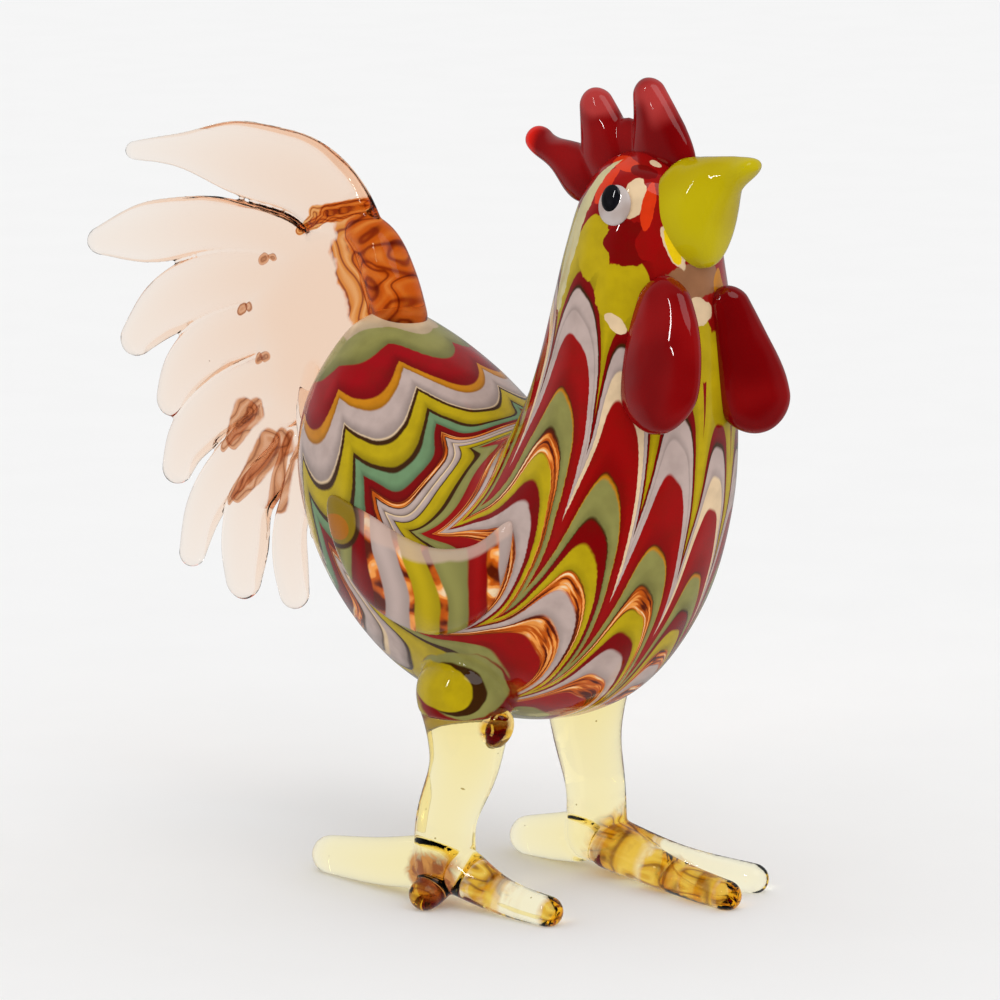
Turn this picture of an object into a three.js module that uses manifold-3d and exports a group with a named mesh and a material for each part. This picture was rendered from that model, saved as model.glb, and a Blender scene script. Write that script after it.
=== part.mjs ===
// A rooster figurine in hot-worked glass: a blown, hollow body that runs up into the neck and head,
// with solid bits fused on for the tail, wings, comb, beak, wattles, eyes, legs and toes.
// Millimetres. The bird faces -Y, its left side is +X and +Z is up, with the ground at zero. Forward and
// outward are measured from the lowest point of the belly until the last step.
import * as THREE from "three";
import { mergeVertices } from "three/addons/utils/BufferGeometryUtils.js";
import Module from "manifold-3d";

const wasm = await Module();
wasm.setup();

// A fused bit keeps this gap to the glass that carries it.
const fuseGap = 0.3;

// Body: the lowest point of the belly, the size from rump to breast, from belly to crown and from side to
// side, the wall of the bubble, and the hole that it was blown through.
const bellyHeight = 27;
const bodyLength = 80.5;
const bodyHeight = 92.4;
const bodyWidth = 41.6;
const wallThickness = 2.4;
const blowHoleRadius = 2.6;
const plugDepth = 3;

// Sections of the body from the rump, down round the belly and up to the crown. Each gives the point on the
// back and the point on the breast, as [forward, above the belly] in shares of the length and the height,
// and its share of the width.
const bodySections = [
  { back: [-0.401, 0.654], breast: [-0.401, 0.654], width: 0 },
  { back: [-0.342, 0.669], breast: [-0.46, 0.602], width: 0.288 },
  { back: [-0.251, 0.639], breast: [-0.532, 0.465], width: 0.615 },
  { back: [-0.15, 0.593], breast: [-0.522, 0.314], width: 0.808 },
  { back: [-0.07, 0.544], breast: [-0.417, 0.162], width: 0.923 },
  { back: [-0.02, 0.512], breast: [-0.236, 0.045], width: 0.986 },
  { back: [0.006, 0.5], breast: [0, 0], width: 1 },
  { back: [0.03, 0.509], breast: [0.22, 0.052], width: 0.971 },
  { back: [0.056, 0.549], breast: [0.369, 0.195], width: 0.923 },
  { back: [0.084, 0.606], breast: [0.447, 0.376], width: 0.846 },
  { back: [0.107, 0.677], breast: [0.468, 0.556], width: 0.75 },
  { back: [0.128, 0.755], breast: [0.462, 0.693], width: 0.673 },
  { back: [0.152, 0.839], breast: [0.445, 0.807], width: 0.591 },
  { back: [0.183, 0.922], breast: [0.439, 0.87], width: 0.505 },
  { back: [0.239, 0.979], breast: [0.42, 0.942], width: 0.375 },
  { back: [0.325, 1], breast: [0.325, 1], width: 0 },
];

// Tail: a flattened root, a thick stem up its front edge, and eight feathers drawn out from its rim. Points
// are [forward, up] from the rump in shares of the reach, and half widths are shares of the feather width.
const tailReach = 65;
const tailRootThickness = 6;
const tailRootMiddle = [-0.154, -0.046];
const tailRootRim = [
  [0.115, -0.062], [0.074, 0.105], [0.015, 0.192], [-0.092, 0.223], [-0.254, 0.172], [-0.354, 0.086],
  [-0.438, -0.046], [-0.385, -0.16], [-0.382, -0.272], [-0.292, -0.331], [-0.192, -0.237], [-0.062, -0.123],
];
const tailStemRadii = [4.2, 4.2, 2.6];
const tailStemRoute = [[0.108, -0.062], [0.051, 0.089], [0.006, 0.175], [-0.077, 0.223]];
const featherWidth = 10;
const featherHalfDepth = 2.2;
const tailFeathers = [
  {
    route: [[-0.031, 0.085], [-0.1, 0.223], [-0.215, 0.308], [-0.4, 0.338], [-0.688, 0.342], [-0.858, 0.326]],
    halfWidths: [0.62, 0.7, 0.66, 0.6, 0.29, 0.14],
  },
  {
    route: [[-0.2, 0.092], [-0.308, 0.154], [-0.531, 0.169], [-0.745, 0.132], [-0.998, 0.077]],
    halfWidths: [0.46, 0.41, 0.48, 0.5, 0.18],
  },
  {
    route: [[-0.223, 0.023], [-0.358, 0.057], [-0.586, 0.008], [-0.738, -0.068], [-0.868, -0.185]],
    halfWidths: [0.44, 0.46, 0.53, 0.49, 0.24],
  },
  {
    route: [[-0.238, -0.062], [-0.342, -0.068], [-0.535, -0.126], [-0.665, -0.222], [-0.726, -0.335]],
    halfWidths: [0.42, 0.44, 0.5, 0.46, 0.24],
  },
  {
    route: [[-0.262, -0.154], [-0.362, -0.2], [-0.528, -0.289], [-0.651, -0.392], [-0.708, -0.508]],
    halfWidths: [0.42, 0.44, 0.48, 0.44, 0.22],
  },
  {
    route: [[-0.254, -0.228], [-0.354, -0.312], [-0.5, -0.438], [-0.598, -0.566], [-0.652, -0.717]],
    halfWidths: [0.36, 0.36, 0.39, 0.36, 0.2],
  },
  {
    route: [[-0.246, -0.308], [-0.308, -0.405], [-0.426, -0.518], [-0.454, -0.637], [-0.462, -0.778]],
    halfWidths: [0.32, 0.32, 0.44, 0.5, 0.26],
  },
  {
    route: [[-0.225, -0.369], [-0.269, -0.485], [-0.295, -0.578], [-0.295, -0.654], [-0.274, -0.777]],
    halfWidths: [0.24, 0.26, 0.32, 0.34, 0.22],
  },
];

// Comb: three drawn lobes. Points are [forward, up] from the crown in shares of the height, the last is the
// end bead, and half widths are shares of the comb's width.
const combHeight = 12;
const combWidth = 10;
const combHalfDepth = 2.6;
const combLobes = {
  comb_front_lobe: {
    route: [[0.18, -0.583], [0.04, 0.167], [-0.192, 0.85]],
    halfWidths: [1.05, 0.54, 0.22],
  },
  comb_middle_lobe: {
    route: [[-0.667, -0.583], [-0.883, 0.125], [-1.083, 0.65]],
    halfWidths: [0.65, 0.46, 0.22],
  },
  comb_rear_lobe: {
    route: [[-0.917, -0.633], [-1.5, -0.3], [-1.93, -0.12], [-2.083, 0.05]],
    halfWidths: [0.6, 0.4, 0.21, 0.21],
  },
};

// Beak: sections from inside the head to the hooked tip. Each gives the point on the ridge and the point
// under the chin, as [forward, up] from the crown in shares of the length, and its half width as a share of
// the width.
const beakLength = 20;
const beakWidth = 16;
const beakSections = [
  { ridge: [0.1, -0.42], chin: [0.1, -0.42], halfWidth: 0 },
  { ridge: [0.17, -0.24], chin: [0.115, -0.68], halfWidth: 0.4 },
  { ridge: [0.28, -0.072], chin: [0.2, -0.865], halfWidth: 0.43 },
  { ridge: [0.42, -0.045], chin: [0.33, -0.91], halfWidth: 0.4 },
  { ridge: [0.56, -0.03], chin: [0.47, -0.89], halfWidth: 0.355 },
  { ridge: [0.68, -0.018], chin: [0.6, -0.8], halfWidth: 0.26 },
  { ridge: [0.79, -0.014], chin: [0.72, -0.37], halfWidth: 0.155 },
  { ridge: [0.91, -0.025], chin: [0.87, -0.165], halfWidth: 0.13 },
  { ridge: [1.0025, -0.085], chin: [1.0025, -0.085], halfWidth: 0 },
];

// Eyes: both dots are ovals, and the black one sits a little back and up on the white one.
const eyeWhite = { across: 2.8, rising: 3.1, halfDepth: 0.9 };
const eyeBlack = { across: 1.65, rising: 2.1, halfDepth: 0.8, back: 0.45, up: 0.95 };

// Wattles: how far the tip hangs outward, forward and down from the root, and the direction across the thin
// side of the flap. The left one hangs further forward, in front of the neck.
const wattles = {
  right: {
    root: [0.795, 145],
    outward: 5.2,
    forward: 3,
    fall: 23.2,
    thinSide: [1, 0, 0],
    halfWidths: [3.3, 6.7, 7.6, 5.8],
    halfDepths: [2.4, 3.2, 3.2, 2.6],
  },
  left: {
    root: [0.778, 166],
    outward: 4.2,
    forward: 4.8,
    fall: 22.4,
    thinSide: [0.74, 0.67, 0],
    halfWidths: [2.7, 4.3, 5.6, 4.9],
    halfDepths: [2.2, 2.7, 2.8, 2.3],
  },
};
const wattleLift = 0.8;

// Places on the skin are [share of the way from rump to crown, degrees from the back round to the side].
const eyePlace = [0.886, 95.5];
const wingMiddle = [0.38, 89];
const wingRim = [
  [0.238, 98], [0.28, 83], [0.34, 76], [0.43, 73], [0.52, 79], [0.475, 96], [0.4, 107], [0.3, 109],
];
const wingThickness = 3;

// Legs: heights are above the ground or under the belly. The toes leave the ankle at the height of the arch
// and come down to flat soles at their tips. Their places on the ground are [forward, outward] in shares of
// the foot's reach, and their radii, from root to tip, are shares of the toe width.
const legTop = { outward: 14.4, radius: 10, aboveBelly: 13 };
const knee = { radius: 6.4, underBelly: 4.5 };
const shin = { radius: 4.8, underBelly: 14 };
const ankle = { radius: 5.2, height: 1.5 };
// A drop of glass hangs at the front of the right leg: [forward, outward, above the ground], and its radii.
const drop = {
  route: [[7.6, 14.5, 32], [7.4, 14.9, 28.9], [6, 14.9, 25.6]],
  radii: [1.9, 2.4, 1.3],
};
const toeWidth = 8.8;
const toeRadii = {
  hind_toe: [0.5, 0.43, 0.33],
  inner_toe: [0.5, 0.33, 0.27],
  outer_toe: [0.5, 0.33, 0.27],
};
const soleDepth = 0.5;
const footReach = 36;
const feet = {
  right: {
    ankle: [-0.039, 0.478],
    arch: 6.5,
    tips: { hind_toe: [-0.861, 0.422], inner_toe: [0.606, 0.467], outer_toe: [-0.017, 0.7] },
  },
  left: {
    ankle: [0.083, 0.367],
    arch: 5.5,
    tips: { hind_toe: [-0.428, 0.406], inner_toe: [1, 0.239], outer_toe: [0.906, 0.561] },
  },
};

// How finely the surfaces are divided.
const bodySides = 28;
const bodyRings = 38;
const rodSides = 10;
const rodRings = 12;
const beakSides = 16;

// Colours of the glass.
const glass = (color) => new THREE.MeshStandardMaterial({ color, roughness: 0.05, metalness: 0 });
const crimson = 0x9c1f24;
const peach = 0xf3d8c4;
const deepRed = 0x8e0d12;
const mustard = 0xc9b21a;
const greyWhite = 0xe9e6ea;
const black = 0x0a0a0c;
const mauve = 0xb9a49a;
const straw = 0xece7b4;
const amber = 0xe9dc8e;

const sideways = new THREE.Vector3(1, 0, 0);
const upward = new THREE.Vector3(0, 0, 1);
const sized = (shares, size) => shares.map((share) => share * size);

// Points in the bird's middle plane, [forward, up] in shares of a size.
function fromBelly([forward, up]) {
  return new THREE.Vector3(0, -forward * bodyLength, bellyHeight + up * bodyHeight);
}
function fromPlace(origin, [forward, up], size) {
  return new THREE.Vector3(0, -forward, up).multiplyScalar(size).add(origin);
}

// The solid inside a closed mesh, with its faces turned outward.
function solidFrom(geometry) {
  geometry.deleteAttribute("normal");
  geometry.deleteAttribute("uv");
  const { attributes, index } = mergeVertices(geometry);
  const corners = Uint32Array.from(index.array);
  const corner = (i) => new THREE.Vector3().fromBufferAttribute(attributes.position, corners[i]);
  let volume = 0;
  for (let i = 0; i < corners.length; i += 3) {
    volume += corner(i).dot(corner(i + 1).cross(corner(i + 2)));
  }
  if (volume < 0) {
    for (let i = 0; i < corners.length; i += 3) {
      [corners[i], corners[i + 1]] = [corners[i + 1], corners[i]];
    }
  }
  const vertProperties = Float32Array.from(attributes.position.array);
  return new wasm.Manifold(new wasm.Mesh({ numProp: 3, vertProperties, triVerts: corners }));
}

// A closed solid made by moving the points of a sphere: each has its share of the way from pole to pole
// and its angle round the axis between the poles.
function moulded(sides, rings, place) {
  const geometry = new THREE.SphereGeometry(1, sides, rings);
  const { position } = geometry.attributes;
  for (let i = 0; i < position.count; i++) {
    const ring = Math.floor(i / (sides + 1));
    const side = (i % (sides + 1)) % sides;
    const point = place(ring / rings, (2 * Math.PI * side) / sides);
    position.setXYZ(i, point.x, point.y, point.z);
  }
  return solidFrom(geometry);
}

// How far out from the poles a point lies, as a share of the widest: 0 at both poles and 1 between them.
const roundOut = (share) => (share === 0 || share === 1 ? 0 : Math.sin(Math.PI * share));

// A value that runs smoothly through a list, from share 0 at the first to share 1 at the last.
function smoothValue(values) {
  const curve = new THREE.CatmullRomCurve3(values.map((value) => new THREE.Vector3(value, 0, 0)));
  curve.curveType = "catmullrom";
  return (share) => curve.getPoint(share).x;
}

// A rod of glass drawn out along a route, with an oval section and rounded ends. Its depth lies along
// the given direction as nearly as the route allows, and grow makes it bigger all round.
function drawnRod({ route, halfWidths, halfDepths, depthAxis }, grow = 0) {
  const path = new THREE.CatmullRomCurve3(route, false, "centripetal");
  const length = path.getLength();
  const widthAt = smoothValue(halfWidths);
  const depthAt = smoothValue(halfDepths);
  return moulded(rodSides, rodRings, (share, angle) => {
    const along = (1 - Math.cos(Math.PI * share)) / 2;
    const point = path.getPointAt(along);
    const tangent = path.getTangentAt(along);
    const across = new THREE.Vector3().crossVectors(tangent, depthAxis).normalize();
    const deep = new THREE.Vector3().crossVectors(across, tangent).normalize();
    const end = Math.round(along);
    const endRadius = Math.min(widthAt(end), depthAt(end));
    const fromEnd = Math.min(1, (Math.abs(end - along) * length) / endRadius);
    const rounding = Math.sqrt(1 - (1 - fromEnd) ** 2);
    const swell = grow * roundOut(share);
    point.addScaledVector(tangent, -grow * Math.cos(Math.PI * share));
    point.addScaledVector(across, Math.cos(angle) * (widthAt(along) * rounding + swell));
    return point.addScaledVector(deep, Math.sin(angle) * (depthAt(along) * rounding + swell));
  });
}

// A round skin between two lines in the bird's middle plane, by the share of the way along them and the
// angle round from the upper one.
function betweenLines(upper, lower, halfWidths) {
  const upperLine = new THREE.CatmullRomCurve3(upper, false, "catmullrom");
  const lowerLine = new THREE.CatmullRomCurve3(lower, false, "catmullrom");
  const halfWidthAt = smoothValue(halfWidths);
  return (along, angle) => {
    const above = upperLine.getPoint(along);
    const below = lowerLine.getPoint(along);
    const point = above.clone().add(below).multiplyScalar(0.5);
    point.addScaledVector(above.sub(below), Math.cos(angle) / 2);
    return point.addScaledVector(sideways, Math.sin(angle) * halfWidthAt(along));
  };
}

// The skin of the body, from rump to crown and round from the back.
const skinPoint = betweenLines(
  bodySections.map(({ back }) => fromBelly(back)),
  bodySections.map(({ breast }) => fromBelly(breast)),
  bodySections.map(({ width }) => (width * bodyWidth) / 2),
);

function skinNormal(along, angle) {
  const step = 0.002;
  const inside = THREE.MathUtils.clamp(along, 2 * step, 1 - 2 * step);
  const lengthwise = skinPoint(inside + step, angle).sub(skinPoint(inside - step, angle));
  const crosswise = skinPoint(inside, angle + step).sub(skinPoint(inside, angle - step));
  return lengthwise.cross(crosswise).normalize();
}

// At the rump and the crown the skin faces along the bird's middle plane.
function endNormal(along) {
  const toBack = skinNormal(along, 0);
  return toBack.add(skinNormal(along, Math.PI)).normalize();
}

function bodySolid(offset, sides, rings) {
  return moulded(sides, rings, (along, angle) => {
    const atEnd = along === 0 || along === 1;
    const normal = atEnd ? endNormal(along) : skinNormal(along, angle);
    return skinPoint(along, angle).addScaledVector(normal, offset);
  });
}

const rump = skinPoint(0, 0);
const crown = skinPoint(1, 0);
const grownBody = bodySolid(fuseGap, bodySides, bodyRings);

const rooster = new THREE.Group();
function addPiece(name, solid, color) {
  const { vertProperties, triVerts } = solid.getMesh();
  const geometry = new THREE.BufferGeometry();
  geometry.setAttribute("position", new THREE.BufferAttribute(vertProperties, 3));
  geometry.setIndex(new THREE.BufferAttribute(triVerts, 1));
  geometry.computeVertexNormals();
  const piece = new THREE.Mesh(geometry, glass(color));
  piece.name = name;
  rooster.add(piece);
}

// Body bubble, open at the blow hole in the rump.
function rumpRod(radius, inward, outward) {
  const route = [-inward, outward].map((reach) => rump.clone().addScaledVector(endNormal(0), reach));
  const halfWidths = [radius, radius];
  return drawnRod({ route, halfWidths, halfDepths: halfWidths, depthAxis: sideways });
}
const bubble = bodySolid(-wallThickness, bodySides / 2, bodyRings / 2);
const blowHole = rumpRod(blowHoleRadius, wallThickness + 2 * blowHoleRadius, 2 * blowHoleRadius);
addPiece("body_shell", bodySolid(0, bodySides, bodyRings).subtract(bubble).subtract(blowHole), crimson);

// Tail root, a web and its stem, plugged into the blow hole.
const fromRump = (point) => fromPlace(rump, point, tailReach);
const rimPlaces = tailRootRim.map(fromRump);
const rootRim = new THREE.CatmullRomCurve3(rimPlaces, true, "centripetal");
const rootMiddle = fromRump(tailRootMiddle);
function tailRoot(grow) {
  const web = moulded(2 * rodSides, 6, (share, angle) => {
    const rim = rootRim.getPoint(angle / (2 * Math.PI));
    const reach = 1 + grow / rim.distanceTo(rootMiddle);
    const point = rootMiddle.clone().lerp(rim, Math.sqrt(roundOut(share)) * reach);
    return point.addScaledVector(sideways, Math.cos(Math.PI * share) * (tailRootThickness / 2 + grow));
  });
  const stem = {
    route: tailStemRoute.map(fromRump),
    halfWidths: tailStemRadii,
    halfDepths: tailStemRadii,
    depthAxis: sideways,
  };
  return web.add(drawnRod(stem, grow));
}
const plug = rumpRod(blowHoleRadius - fuseGap, wallThickness + plugDepth, 2 * blowHoleRadius);
addPiece("tail_root", tailRoot(0).subtract(grownBody).add(plug), peach);

// Tail feathers, each fused to the root and to the one before it.
let tailSoFar = tailRoot(fuseGap).add(grownBody);
tailFeathers.forEach(({ route, halfWidths }, index) => {
  const widths = sized(halfWidths, featherWidth);
  const feather = {
    route: route.map(fromRump),
    halfWidths: widths,
    halfDepths: [featherHalfDepth, featherHalfDepth, Math.min(featherHalfDepth, widths.at(-1))],
    depthAxis: sideways,
  };
  addPiece(`tail_feather_${index + 1}`, drawnRod(feather).subtract(tailSoFar), peach);
  tailSoFar = tailSoFar.add(drawnRod(feather, fuseGap));
});

// Comb, each lobe fused to the head and to the one before it.
let headSoFar = grownBody;
for (const [name, { route, halfWidths }] of Object.entries(combLobes)) {
  const widths = sized(halfWidths, combWidth);
  const lobe = {
    route: route.map((point) => fromPlace(crown, point, combHeight)),
    halfWidths: widths,
    halfDepths: [combHalfDepth, combHalfDepth, widths.at(-1)],
    depthAxis: sideways,
  };
  addPiece(name, drawnRod(lobe).subtract(headSoFar), deepRed);
  headSoFar = headSoFar.add(drawnRod(lobe, fuseGap));
}

// Beak.
const beakSkin = betweenLines(
  beakSections.map(({ ridge }) => fromPlace(crown, ridge, beakLength)),
  beakSections.map(({ chin }) => fromPlace(crown, chin, beakLength)),
  beakSections.map(({ halfWidth }) => halfWidth * beakWidth),
);
addPiece("beak", moulded(beakSides, beakSides, beakSkin).subtract(headSoFar), mustard);

// The space under the ground, that flattens the soles.
const groundSpan = 4 * (bodyLength + footReach);
const groundBox = new THREE.BoxGeometry(groundSpan, groundSpan, groundSpan);
const underGround = solidFrom(groundBox.translate(0, 0, -groundSpan / 2));

// Pairs: side is +1 for the bird's left and -1 for its right.
for (const [name, side] of [["right", -1], ["left", 1]]) {
  const onSkin = ([along, degrees]) => [along, side * THREE.MathUtils.degToRad(degrees)];

  // Wattle, a flap that hangs beside the throat.
  const { root, outward, forward, fall, thinSide, halfWidths, halfDepths } = wattles[name];
  const wattleRoot = skinPoint(...onSkin(root));
  wattleRoot.addScaledVector(skinNormal(...onSkin(root)), wattleLift);
  const hang = new THREE.Vector3(side * outward, -forward, -fall);
  const flap = drawnRod({
    route: [wattleRoot, wattleRoot.clone().add(hang)],
    halfWidths,
    halfDepths,
    depthAxis: new THREE.Vector3(...thinSide),
  });
  addPiece(`${name}_wattle`, flap.subtract(grownBody), deepRed);

  // Eye, a flattened dot of white with a smaller black dot on it.
  const eyeNormal = skinNormal(...onSkin(eyePlace));
  const across = new THREE.Vector3().crossVectors(upward, eyeNormal).normalize();
  const rising = new THREE.Vector3().crossVectors(eyeNormal, across);
  const dot = (oval, lift, grow = 0) => {
    const middle = skinPoint(...onSkin(eyePlace)).addScaledVector(eyeNormal, lift);
    middle.addScaledVector(across, side * (oval.back ?? 0)).addScaledVector(rising, oval.up ?? 0);
    return moulded(rodSides, 6, (share, angle) => {
      const height = Math.cos(Math.PI * share) * (oval.halfDepth + grow);
      const point = middle.clone().addScaledVector(eyeNormal, height);
      point.addScaledVector(across, Math.cos(angle) * roundOut(share) * (oval.across + grow));
      return point.addScaledVector(rising, Math.sin(angle) * roundOut(share) * (oval.rising + grow));
    });
  };
  const pupil = dot(eyeBlack, eyeWhite.halfDepth + fuseGap);
  const grownWhite = dot(eyeWhite, fuseGap, fuseGap);
  addPiece(`${name}_eye_white`, dot(eyeWhite, fuseGap).subtract(grownBody), greyWhite);
  addPiece(`${name}_pupil`, pupil.subtract(grownWhite).subtract(grownBody), black);

  // Wing, a pad laid on the flank.
  const rimPoints = wingRim.map(([along, degrees]) => new THREE.Vector3(along, degrees, 0));
  const rimLine = new THREE.CatmullRomCurve3(rimPoints, true, "catmullrom");
  const wing = moulded(2 * rodSides, 8, (share, angle) => {
    const rim = rimLine.getPoint(angle / (2 * Math.PI));
    const spread = roundOut(share) ** 0.7;
    const along = THREE.MathUtils.lerp(wingMiddle[0], rim.x, spread);
    const degrees = THREE.MathUtils.lerp(wingMiddle[1], rim.y, spread);
    const spot = onSkin([along, degrees]);
    const height = Math.cos(Math.PI * share) * wingThickness;
    return skinPoint(...spot).addScaledVector(skinNormal(...spot), height);
  });
  addPiece(`${name}_wing`, wing.subtract(grownBody), mauve);

  // Leg, from inside the belly down to the ankle.
  const onGround = ([forward, outward], height) => new THREE.Vector3(side * outward, -forward, height);
  const foot = feet[name];
  const anklePlace = sized(foot.ankle, footReach);
  const hip = [0, legTop.outward];
  const legRadii = [legTop.radius, knee.radius, shin.radius, ankle.radius];
  const leg = {
    route: [
      onGround(hip, bellyHeight + legTop.aboveBelly),
      onGround(hip, bellyHeight - knee.underBelly),
      onGround(anklePlace, bellyHeight - shin.underBelly),
      onGround(anklePlace, ankle.height),
    ],
    halfWidths: legRadii,
    halfDepths: legRadii,
    depthAxis: sideways,
  };
  let legSolid = drawnRod(leg);
  if (name === "right") {
    const route = drop.route.map(([forward, outward, height]) => onGround([forward, outward], height));
    const hanging = { route, halfWidths: drop.radii, halfDepths: drop.radii, depthAxis: sideways };
    legSolid = legSolid.add(drawnRod(hanging));
  }
  addPiece(`${name}_leg`, legSolid.subtract(grownBody), straw);

  // Toes, fused round the ankle, with their soles flat on the ground.
  let footSoFar = drawnRod(leg, fuseGap).add(underGround);
  for (const [toeName, tipShares] of Object.entries(foot.tips)) {
    const tip = sized(tipShares, footReach);
    const middle = anklePlace.map((value, axis) => (value + tip[axis]) / 2);
    const radii = sized(toeRadii[toeName], toeWidth);
    const route = [
      onGround(anklePlace, foot.arch),
      onGround(middle, radii[1]),
      onGround(tip, radii[2] - soleDepth),
    ];
    const toe = { route, halfWidths: radii, halfDepths: radii, depthAxis: upward };
    addPiece(`${name}_${toeName}`, drawnRod(toe).subtract(footSoFar), amber);
    footSoFar = footSoFar.add(drawnRod(toe, fuseGap));
  }
}

// The origin is on the ground, below the middle of the bird's length and width.
const { min, max } = new THREE.Box3().setFromObject(rooster);
for (const piece of rooster.children) {
  piece.geometry.translate(-(min.x + max.x) / 2, -(min.y + max.y) / 2, 0);
}

export default rooster;
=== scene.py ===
import math

import bmesh
import bpy
import numpy as np
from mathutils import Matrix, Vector
from mathutils.kdtree import KDTree


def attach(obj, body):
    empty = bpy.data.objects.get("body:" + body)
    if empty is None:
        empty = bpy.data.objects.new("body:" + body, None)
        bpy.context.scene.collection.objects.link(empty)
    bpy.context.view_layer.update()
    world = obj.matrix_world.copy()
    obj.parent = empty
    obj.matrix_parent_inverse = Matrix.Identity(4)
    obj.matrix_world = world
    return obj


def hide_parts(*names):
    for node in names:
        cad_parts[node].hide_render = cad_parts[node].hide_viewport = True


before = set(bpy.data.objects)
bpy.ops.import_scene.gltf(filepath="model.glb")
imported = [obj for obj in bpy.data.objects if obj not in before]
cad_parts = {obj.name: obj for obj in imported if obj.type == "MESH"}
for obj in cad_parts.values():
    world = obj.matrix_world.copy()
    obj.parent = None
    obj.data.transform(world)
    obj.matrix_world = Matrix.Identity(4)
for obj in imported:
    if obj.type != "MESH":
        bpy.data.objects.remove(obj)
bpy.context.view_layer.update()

MM = 0.001

# The middle of the bird's width and the lowest point of its belly lie here, seen from above.
BELLY_SPOT = np.array([0.726, -25.470, 0.0])

# Body: the lowest point of the belly, and its length, height and width.
BELLY_HEIGHT = 27
BODY_LENGTH = 80.5
BODY_HEIGHT = 92.4
BODY_WIDTH = 41.6

# Sections of the body from the rump, down round the belly and up to the crown: the point on the back and the
# point on the breast, as [forward, above the belly] in shares of the length and the height, and the share of
# the width.
BACK = [
    (-0.401, 0.654), (-0.342, 0.669), (-0.251, 0.639), (-0.15, 0.593), (-0.07, 0.544), (-0.02, 0.512),
    (0.006, 0.5), (0.03, 0.509), (0.056, 0.549), (0.084, 0.606), (0.107, 0.677), (0.128, 0.755),
    (0.152, 0.839), (0.183, 0.922), (0.239, 0.979), (0.325, 1),
]
BREAST = [
    (-0.401, 0.654), (-0.46, 0.602), (-0.532, 0.465), (-0.522, 0.314), (-0.417, 0.162), (-0.236, 0.045),
    (0, 0), (0.22, 0.052), (0.369, 0.195), (0.447, 0.376), (0.468, 0.556), (0.462, 0.693),
    (0.445, 0.807), (0.439, 0.87), (0.42, 0.942), (0.325, 1),
]
WIDTHS = [0, 0.288, 0.615, 0.808, 0.923, 0.986, 1, 0.971, 0.923, 0.846, 0.75, 0.673, 0.591, 0.505, 0.375, 0]

# Tail: a web and a stem, and eight feathers. Points are [forward, up] from the rump in shares of the reach,
# and half widths are shares of the feather width.
TAIL_REACH = 65
WEB_THICKNESS = 6
WEB_MIDDLE = (-0.154, -0.046)
WEB_RIM = [
    (0.115, -0.062), (0.074, 0.105), (0.015, 0.192), (-0.092, 0.223), (-0.254, 0.172), (-0.354, 0.086),
    (-0.438, -0.046), (-0.385, -0.16), (-0.382, -0.272), (-0.292, -0.331), (-0.192, -0.237), (-0.062, -0.123),
]
# A strand of the tail's glass runs down the rear of the body: places in millimetres, and radii.
STRAND_ROUTE = [(-2.2, 17.5, 79), (-3.8, 18.4, 70.5), (-4, 17.3, 63.2), (-4, 15.6, 56), (-4, 14.5, 50.1)]
STRAND_RADII = [1.6, 1.3, 1.1, 1.3, 1.7]
# Streaks in the tail: both ends as [forward, up] from the rump in shares of the reach, and the half widths
# there in millimetres. The amber ones lie at the root of the top feather. The brown ones lie at the roots of
# the lower feathers, and as beads at the ends of the slits between them.
AMBER_STREAKS = [
    ((-0.02, 0.262), (-0.17, 0.23), (1.5, 1.5)),
    ((-0.15, 0.235), (-0.235, 0.188), (0.9, 0.9)),
]
BROWN_STREAKS = [
    ((-0.42, -0.288), (-0.5, -0.386), (2.3, 1.0)),
    ((-0.334, -0.358), (-0.484, -0.523), (2.4, 0.8)),
    ((-0.266, -0.328), (-0.336, -0.524), (0.8, 1.4)),
    ((-0.359, 0.101), (-0.351, 0.105), (0.9, 0.9)),
    ((-0.438, -0.034), (-0.43, -0.03), (0.9, 0.9)),
    ((-0.379, -0.151), (-0.371, -0.147), (0.9, 0.9)),
]
STEM_RADII = [4.2, 4.2, 2.6]
STEM_ROUTE = [(0.108, -0.062), (0.051, 0.089), (0.006, 0.175), (-0.077, 0.223)]
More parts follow.
